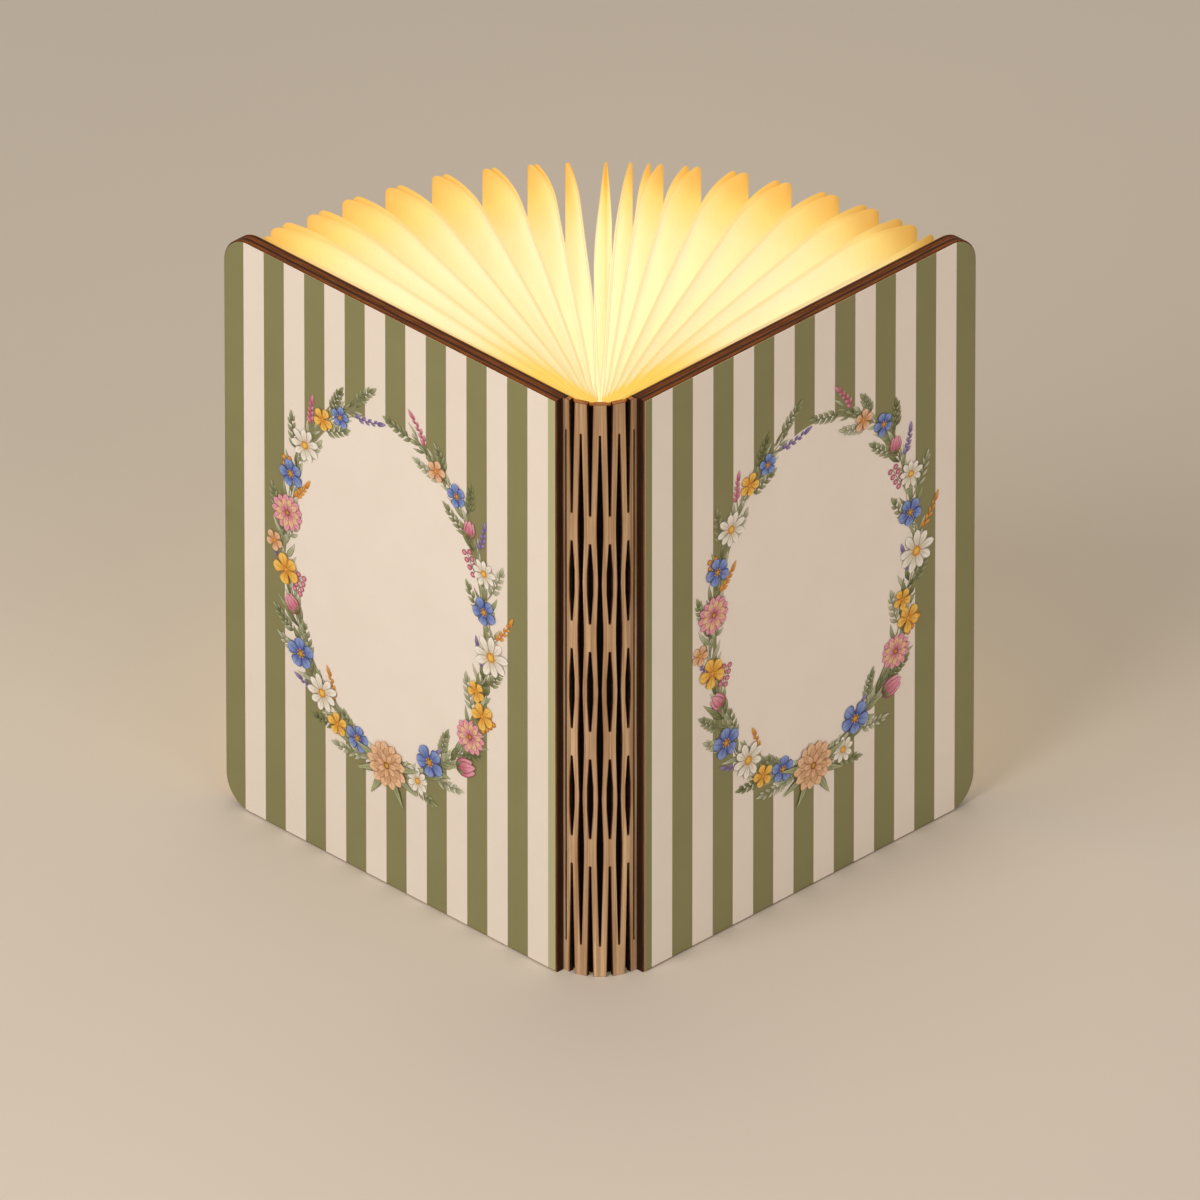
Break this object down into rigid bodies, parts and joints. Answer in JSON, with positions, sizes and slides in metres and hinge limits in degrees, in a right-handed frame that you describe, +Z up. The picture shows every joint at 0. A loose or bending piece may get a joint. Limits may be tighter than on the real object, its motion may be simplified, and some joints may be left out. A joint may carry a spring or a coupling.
{
  "type": "folding book lamp",
  "caption": "Book-shaped rechargeable lamp: striped wooden covers on a laser-cut lattice spine open to fan out lit paper leaves.",
  "frame": {"origin": "on the standing surface, under the middle of the lamp's outer size as it stands half open", "axes": "+Z up along the spine, -Y towards the outside of the spine, +Y towards the fanned leaves, +X to the right seen from the spine"},
  "size_m": [0.2428, 0.1576, 0.215],
  "materials": {
    "printed_cover": "satin laminated print, green and cream stripes with an oval garland",
    "dark_board": "dark plywood with darker cut edges",
    "lattice_ply": "light plywood, laser-cut",
    "lining_paper": "matt",
    "page_paper": "matt translucent, lit from inside",
    "binding_cloth": "dark woven cloth",
    "foam_tape": "matt",
    "core_plastic": "fine satin",
    "diffuser_plastic": "opal",
    "circuit_board": "white solder mask",
    "led_lens": "clear, phosphor yellow",
    "chip_plastic": "matt",
    "steel": "plated",
    "cell_foil": "satin foil",
    "red_insulation": "smooth",
    "black_insulation": "smooth"
  },
  "bodies": {
    "spine": {"middle_lattice_slat": "lattice_ply", "binding_strip": "binding_cloth", "core_tape": "foam_tape", "core_housing": "core_plastic", "core_diffuser": "diffuser_plastic", "core_top_cap": "core_plastic", "core_bottom_cap": "core_plastic", "led_board": "circuit_board", "led_1": "led_lens", "led_2": "led_lens", "led_3": "led_lens", "led_4": "led_lens", "led_5": "led_lens", "led_6": "led_lens", "led_7": "led_lens", "led_8": "led_lens", "charge_board": "circuit_board", "charging_socket": "steel", "switch_sensor": "chip_plastic", "charge_indicator": "led_lens", "battery_cell": "cell_foil", "battery_lead_positive": "red_insulation", "battery_lead_negative": "black_insulation", "board_jumper": "red_insulation", "page_leaf_middle": "page_paper"},
    "left_slat": {"left_lattice_slat": "lattice_ply", "left_spine_cloth": "binding_cloth"},
    "left_cover": {"left_outer_board": "dark_board", "left_inner_panel": "lattice_ply", "left_print_sheet": "printed_cover", "left_lining": "lining_paper", "left_hinge_cloth": "binding_cloth", "left_magnet_bottom": "steel", "left_magnet_top": "steel", "switch_magnet": "steel"},
    "left_leaf_1": {"left_page_leaf_1": "page_paper"},
    "left_leaf_2": {"left_page_leaf_2": "page_paper"},
    "left_leaf_3": {"left_page_leaf_3": "page_paper"},
    "left_leaf_4": {"left_page_leaf_4": "page_paper"},
    "left_leaf_5": {"left_page_leaf_5": "page_paper"},
    "left_leaf_6": {"left_page_leaf_6": "page_paper"},
    "left_leaf_7": {"left_page_leaf_7": "page_paper"},
    "left_leaf_8": {"left_page_leaf_8": "page_paper"},
    "right_slat": {"right_lattice_slat": "lattice_ply", "right_spine_cloth": "binding_cloth"},
    "right_cover": {"right_outer_board": "dark_board", "right_inner_panel": "lattice_ply", "right_print_sheet": "printed_cover", "right_lining": "lining_paper", "right_hinge_cloth": "binding_cloth", "right_magnet_bottom": "steel", "right_magnet_top": "steel"},
    "right_leaf_1": {"right_page_leaf_1": "page_paper"},
    "right_leaf_2": {"right_page_leaf_2": "page_paper"},
    "right_leaf_3": {"right_page_leaf_3": "page_paper"},
    "right_leaf_4": {"right_page_leaf_4": "page_paper"},
    "right_leaf_5": {"right_page_leaf_5": "page_paper"},
    "right_leaf_6": {"right_page_leaf_6": "page_paper"},
    "right_leaf_7": {"right_page_leaf_7": "page_paper"},
    "right_leaf_8": {"right_page_leaf_8": "page_paper"}
  },
  "joints": [
    {"name": "left_spine_bend", "type": "hinge", "parent": "spine", "child": "left_slat", "pos_m": [-0.003, -0.0777, 0], "axis": [0, 0, 1], "range_deg": [-22.5, 67.9], "deforming": ["page_leaf_middle"]},
    {"name": "left_cover_bend", "type": "hinge", "parent": "left_slat", "child": "left_cover", "pos_m": [-0.00854, -0.0754, 0], "axis": [0, 0, 1], "range_deg": [-22.5, 67.9]},
    {"name": "left_leaf_1_turn", "type": "hinge", "parent": "spine", "child": "left_leaf_1", "pos_m": [-0.003, -0.0777, 0], "axis": [0, 0, 1], "range_deg": [-3.7, 11.15], "deforming": ["left_page_leaf_1"]},
    {"name": "left_leaf_2_turn", "type": "hinge", "parent": "spine", "child": "left_leaf_2", "pos_m": [-0.003, -0.0777, 0], "axis": [0, 0, 1], "range_deg": [-7.93, 23.91], "deforming": ["left_page_leaf_2"]},
    {"name": "left_leaf_3_turn", "type": "hinge", "parent": "spine", "child": "left_leaf_3", "pos_m": [-0.003, -0.0777, 0], "axis": [0, 0, 1], "range_deg": [-13.06, 39.39], "deforming": ["left_page_leaf_3"]},
    {"name": "left_leaf_4_turn", "type": "hinge", "parent": "spine", "child": "left_leaf_4", "pos_m": [-0.003, -0.0777, 0], "axis": [0, 0, 1], "range_deg": [-19, 57.32], "deforming": ["left_page_leaf_4"]},
    {"name": "left_leaf_5_turn", "type": "hinge", "parent": "left_slat", "child": "left_leaf_5", "pos_m": [-0.00854, -0.0754, 0], "axis": [0, 0, 1], "range_deg": [-2.53, 7.62], "deforming": ["left_page_leaf_5"]},
    {"name": "left_leaf_6_turn", "type": "hinge", "parent": "left_slat", "child": "left_leaf_6", "pos_m": [-0.00854, -0.0754, 0], "axis": [0, 0, 1], "range_deg": [-8.43, 25.41], "deforming": ["left_page_leaf_6"]},
    {"name": "left_leaf_7_turn", "type": "hinge", "parent": "left_slat", "child": "left_leaf_7", "pos_m": [-0.00854, -0.0754, 0], "axis": [0, 0, 1], "range_deg": [-13.78, 41.56], "deforming": ["left_page_leaf_7"]},
    {"name": "left_leaf_8_turn", "type": "hinge", "parent": "left_slat", "child": "left_leaf_8", "pos_m": [-0.00854, -0.0754, 0], "axis": [0, 0, 1], "range_deg": [-19.14, 57.73], "deforming": ["left_page_leaf_8"]},
    {"name": "right_spine_bend", "type": "hinge", "parent": "spine", "child": "right_slat", "pos_m": [0.003, -0.0777, 0], "axis": [0, 0, -1], "range_deg": [-22.5, 67.9]},
    {"name": "right_cover_bend", "type": "hinge", "parent": "right_slat", "child": "right_cover", "pos_m": [0.00854, -0.0754, 0], "axis": [0, 0, -1], "range_deg": [-22.5, 67.9]},
    {"name": "right_leaf_1_turn", "type": "hinge", "parent": "spine", "child": "right_leaf_1", "pos_m": [0.003, -0.0777, 0], "axis": [0, 0, -1], "range_deg": [-3.48, 10.47], "deforming": ["right_page_leaf_1"]},
    {"name": "right_leaf_2_turn", "type": "hinge", "parent": "spine", "child": "right_leaf_2", "pos_m": [0.003, -0.0777, 0], "axis": [0, 0, -1], "range_deg": [-6.36, 19.16], "deforming": ["right_page_leaf_2"]},
    {"name": "right_leaf_3_turn", "type": "hinge", "parent": "spine", "child": "right_leaf_3", "pos_m": [0.003, -0.0777, 0], "axis": [0, 0, -1], "range_deg": [-10.86, 32.74], "deforming": ["right_page_leaf_3"]},
    {"name": "right_leaf_4_turn", "type": "hinge", "parent": "spine", "child": "right_leaf_4", "pos_m": [0.003, -0.0777, 0], "axis": [0, 0, -1], "range_deg": [-16.52, 49.85], "deforming": ["right_page_leaf_4"]},
    {"name": "right_leaf_5_turn", "type": "hinge", "parent": "spine", "child": "right_leaf_5", "pos_m": [0.003, -0.0777, 0], "axis": [0, 0, -1], "range_deg": [-22.06, 66.55], "deforming": ["right_page_leaf_5"]},
    {"name": "right_leaf_6_turn", "type": "hinge", "parent": "right_slat", "child": "right_leaf_6", "pos_m": [0.00854, -0.0754, 0], "axis": [0, 0, -1], "range_deg": [-5.77, 17.39], "deforming": ["right_page_leaf_6"]},
    {"name": "right_leaf_7_turn", "type": "hinge", "parent": "right_slat", "child": "right_leaf_7", "pos_m": [0.00854, -0.0754, 0], "axis": [0, 0, -1], "range_deg": [-11.53, 34.77], "deforming": ["right_page_leaf_7"]},
    {"name": "right_leaf_8_turn", "type": "hinge", "parent": "right_slat", "child": "right_leaf_8", "pos_m": [0.00854, -0.0754, 0], "axis": [0, 0, -1], "range_deg": [-17.34, 52.29], "deforming": ["right_page_leaf_8"]}
  ],
  "couplings": [
    {"joint": "left_cover_bend", "follows": "left_spine_bend", "ratio": 1},
    {"joint": "left_leaf_1_turn", "follows": "left_spine_bend", "ratio": 0.164},
    {"joint": "left_leaf_2_turn", "follows": "left_spine_bend", "ratio": 0.352},
    {"joint": "left_leaf_3_turn", "follows": "left_spine_bend", "ratio": 0.58},
    {"joint": "left_leaf_4_turn", "follows": "left_spine_bend", "ratio": 0.844},
    {"joint": "left_leaf_5_turn", "follows": "left_spine_bend", "ratio": 0.112},
    {"joint": "left_leaf_6_turn", "follows": "left_spine_bend", "ratio": 0.374},
    {"joint": "left_leaf_7_turn", "follows": "left_spine_bend", "ratio": 0.612},
    {"joint": "left_leaf_8_turn", "follows": "left_spine_bend", "ratio": 0.85},
    {"joint": "right_cover_bend", "follows": "right_spine_bend", "ratio": 1},
    {"joint": "right_leaf_1_turn", "follows": "right_spine_bend", "ratio": 0.154},
    {"joint": "right_leaf_2_turn", "follows": "right_spine_bend", "ratio": 0.282},
    {"joint": "right_leaf_3_turn", "follows": "right_spine_bend", "ratio": 0.482},
    {"joint": "right_leaf_4_turn", "follows": "right_spine_bend", "ratio": 0.734},
    {"joint": "right_leaf_5_turn", "follows": "right_spine_bend", "ratio": 0.98},
    {"joint": "right_leaf_6_turn", "follows": "right_spine_bend", "ratio": 0.256},
    {"joint": "right_leaf_7_turn", "follows": "right_spine_bend", "ratio": 0.512},
    {"joint": "right_leaf_8_turn", "follows": "right_spine_bend", "ratio": 0.77}
  ]
}
